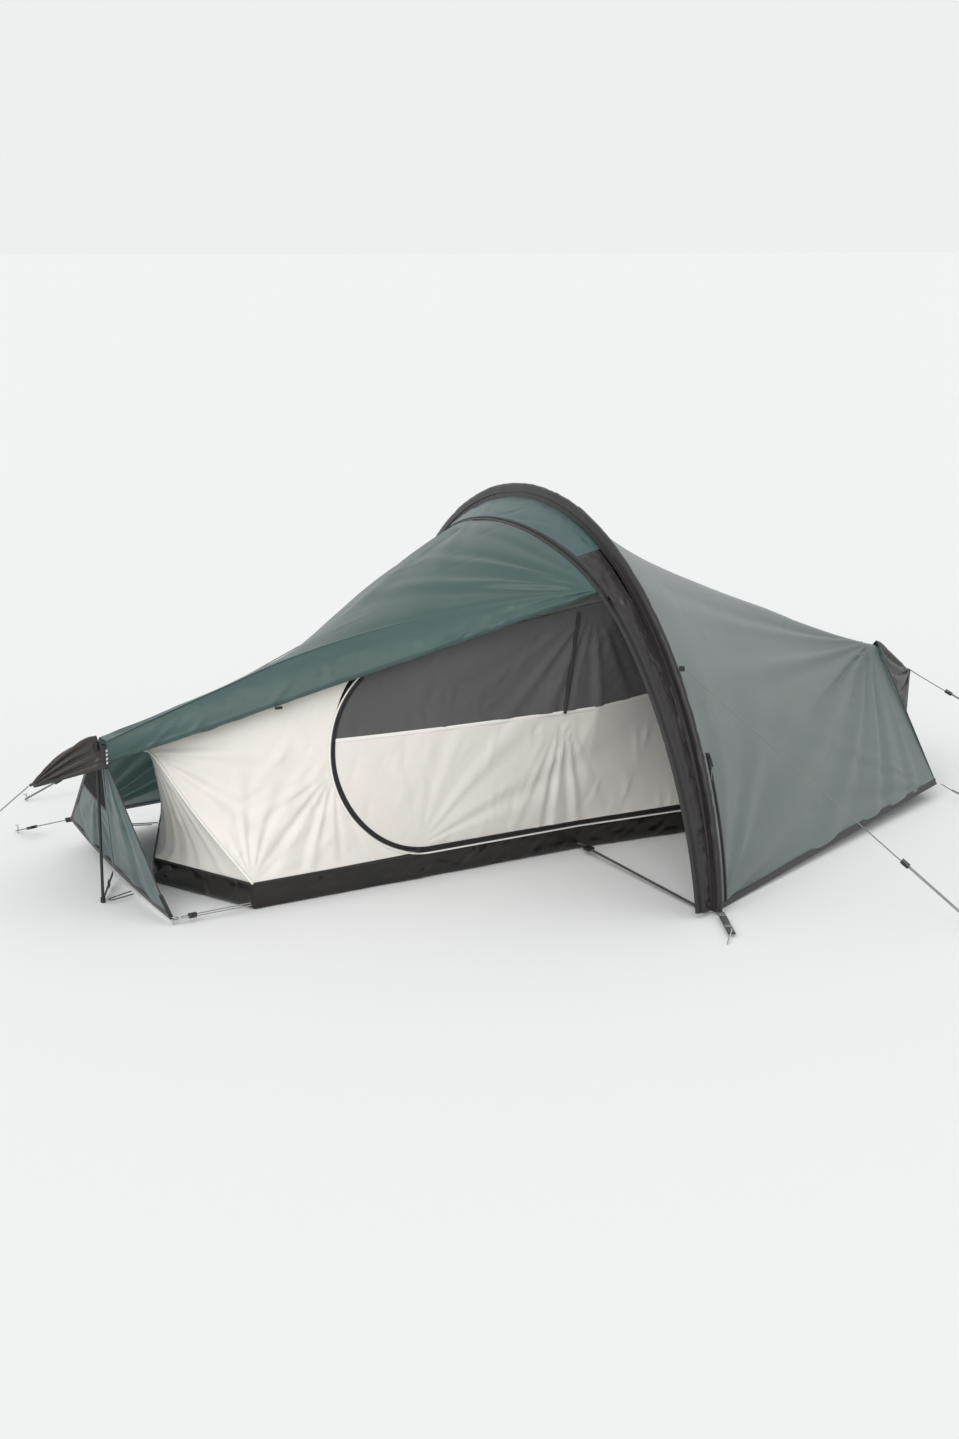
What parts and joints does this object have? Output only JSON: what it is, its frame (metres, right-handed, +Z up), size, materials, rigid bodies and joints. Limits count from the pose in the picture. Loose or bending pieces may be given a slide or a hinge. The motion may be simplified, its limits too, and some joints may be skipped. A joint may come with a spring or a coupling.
{
  "type": "single-hoop tent",
  "caption": "Low one-person backpacking tent with one tall hoop, short end struts, a rolled-up porch door, hooded end vents and a hung inner tent with a mesh door.",
  "frame": {"origin": "on the ground at the centre of the tent's outer box, without its guy lines; the hoop stands 40 mm to the +X side", "axes": "+X along the tent, +Y away from the porch door, +Z up"},
  "size_m": [3.6198, 2.4767, 1],
  "materials": {
    "fly": "silicone-coated ripstop",
    "fly_black": "coated ripstop",
    "inner": "breathable ripstop",
    "mesh": "no-see-um mesh",
    "tub": "coated floor fabric",
    "webbing": "woven webbing",
    "zip": "coil zip",
    "alloy": "anodised tube and wire",
    "plastic": "moulded",
    "cord": "braided guy line",
    "rubber": "moulded rubber"
  },
  "bodies": {
    "tent": {"crown_panel": "fly", "door_zip": "zip", "elastic_far_corner": "cord", "elastic_near_corner": "cord", "elastic_strut_foot": "cord", "end_buckles": "plastic", "end_straps": "webbing", "end_vent_meshes": "mesh", "fly_door_fold": "fly", "fly_left_back": "fly", "fly_left_end": "fly", "fly_left_front": "fly", "fly_right_back": "fly", "fly_right_end": "fly", "fly_right_front": "fly", "foot_and_corner_pegs": "alloy", "foot_straps": "webbing", "guy_corner_left": "cord", "guy_corner_right": "cord", "guy_hood_left": "cord", "guy_hood_right": "cord", "guy_hoop_far": "cord", "guy_hoop_near": "cord", "guy_pegs": "alloy", "guy_tabs": "webbing", "hem_tapes": "fly_black", "hood_left": "fly_black", "hood_right": "fly_black", "hoop_pole_ferrules": "alloy", "hoop_pole_sections": "alloy", "hoop_pole_tips": "alloy", "hoop_shock_cord": "rubber", "inner_back_wall": "inner", "inner_door_zip": "zip", "inner_end_left": "inner", "inner_end_right": "inner", "inner_roof": "inner", "inner_tub_floor": "tub", "inner_wall_left": "inner", "inner_wall_right": "inner", "pole_sleeve": "fly_black", "porch_strap": "webbing", "rolled_door": "fly", "side_zip": "zip", "storm_flap": "fly_black", "strut_boots_and_pockets": "plastic", "strut_left": "plastic", "strut_right": "plastic"},
    "side_zip_slider": {"side_zip_slider": "zip"},
    "door_zip_slider": {"door_zip_slider": "zip"},
    "inner_door_slider": {"inner_door_slider": "zip"},
    "inner_door": {"inner_door_cloth": "inner", "inner_door_mesh": "mesh"},
    "porch_buckle": {"porch_buckle": "plastic"},
    "door_toggle": {"door_toggle": "plastic"},
    "runner_corner_left": {"runner_corner_left": "plastic"},
    "runner_hood_left": {"runner_hood_left": "plastic"},
    "runner_hood_right": {"runner_hood_right": "plastic"},
    "runner_hoop_far": {"runner_hoop_far": "plastic"},
    "runner_hoop_near": {"runner_hoop_near": "plastic"}
  },
  "joints": [
    {"name": "side_zip_run", "type": "hinge", "parent": "tent", "child": "side_zip_slider", "pos_m": [0.07, 0.17814, -0.06509], "axis": [1, 0, 0], "range_deg": [0, 16]},
    {"name": "door_zip_run", "type": "hinge", "parent": "tent", "child": "door_zip_slider", "pos_m": [-0.06234, 0.02262, -0.01612], "axis": [0.9998, 0.012, -0.0131], "range_deg": [0, 18]},
    {"name": "inner_zip_run", "type": "hinge", "parent": "tent", "child": "inner_door_slider", "pos_m": [-0.43301, -0.25219, 0.34503], "axis": [0.0114, 0.9882, -0.1527], "range_deg": [0, 60]},
    {"name": "inner_door_swing", "type": "hinge", "parent": "tent", "child": "inner_door", "pos_m": [0.44, -0.27649, 0.088], "axis": [0, 0, 1], "range_deg": [-8, 0]},
    {"name": "porch_buckle_slide", "type": "slide", "parent": "tent", "child": "porch_buckle", "axis": [-0.0407, -0.999, -0.0172], "range_m": [0, 0.3]},
    {"name": "door_toggle_turn", "type": "hinge", "parent": "tent", "child": "door_toggle", "pos_m": [-0.84592, -0.21697, 0.49884], "axis": [0, 0, 1], "range_deg": [-80, 80]},
    {"name": "runner_corner_left_slide", "type": "slide", "parent": "tent", "child": "runner_corner_left", "axis": [0.2793, -0.9097, 0.3072], "range_m": [-0.035, 0.11]},
    {"name": "runner_hood_left_slide", "type": "slide", "parent": "tent", "child": "runner_hood_left", "axis": [0.6356, -0.4101, 0.6541], "range_m": [-0.101, 0.25]},
    {"name": "runner_hood_right_slide", "type": "slide", "parent": "tent", "child": "runner_hood_right", "axis": [-0.5587, 0.6894, 0.461], "range_m": [-0.512, 0.079]},
    {"name": "runner_hoop_far_slide", "type": "slide", "parent": "tent", "child": "runner_hoop_far", "axis": [0.8748, -0.1934, 0.4441], "range_m": [-0.069, 0.25]},
    {"name": "runner_hoop_near_slide", "type": "slide", "parent": "tent", "child": "runner_hoop_near", "axis": [-0.4939, 0.6128, 0.6169], "range_m": [-0.197, 0.25]}
  ]
}
